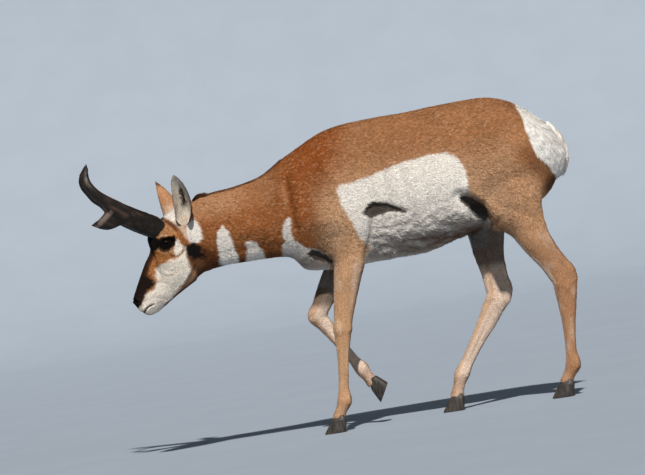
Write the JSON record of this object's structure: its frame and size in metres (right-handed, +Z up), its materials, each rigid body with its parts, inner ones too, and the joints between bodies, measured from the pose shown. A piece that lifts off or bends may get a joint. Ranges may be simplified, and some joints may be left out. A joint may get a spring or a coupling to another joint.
{
  "type": "pronghorn",
  "caption": "Life-size pronghorn buck walking with its head low and one forefoot lifted, with flat black forked horns and cloven hooves",
  "frame": {"origin": "on the floor under the middle of the animal's length and width", "axes": "+X from the nose towards the tail, +Y towards the animal's right side, +Z up"},
  "size_m": [1.4168, 0.3002, 0.8937],
  "materials": {
    "coat": "short tan fur",
    "pale_coat": "short white fur",
    "ear": "short fur over thin skin",
    "horn": "rough horn with worn edges",
    "hoof": "satin horn",
    "eye": "wet gloss"
  },
  "bodies": {
    "root": {"torso": "coat", "neck": "coat", "head": "pale_coat", "tail": "pale_coat", "eye_left": "eye", "horn_left": "horn", "ear_left": "ear", "eye_right": "eye", "horn_right": "horn", "ear_right": "ear", "foreleg_left_forearm": "coat", "foreleg_left_cannon": "coat", "foreleg_left_hoof_outer": "hoof", "foreleg_left_hoof_inner": "hoof", "foreleg_right_forearm": "coat", "foreleg_right_cannon": "coat", "foreleg_right_hoof_outer": "hoof", "foreleg_right_hoof_inner": "hoof", "hindleg_left_gaskin": "coat", "hindleg_left_cannon": "coat", "hindleg_left_hoof_outer": "hoof", "hindleg_left_hoof_inner": "hoof", "hindleg_right_gaskin": "coat", "hindleg_right_cannon": "coat", "hindleg_right_hoof_outer": "hoof", "hindleg_right_hoof_inner": "hoof"}
  },
  "joints": []
}
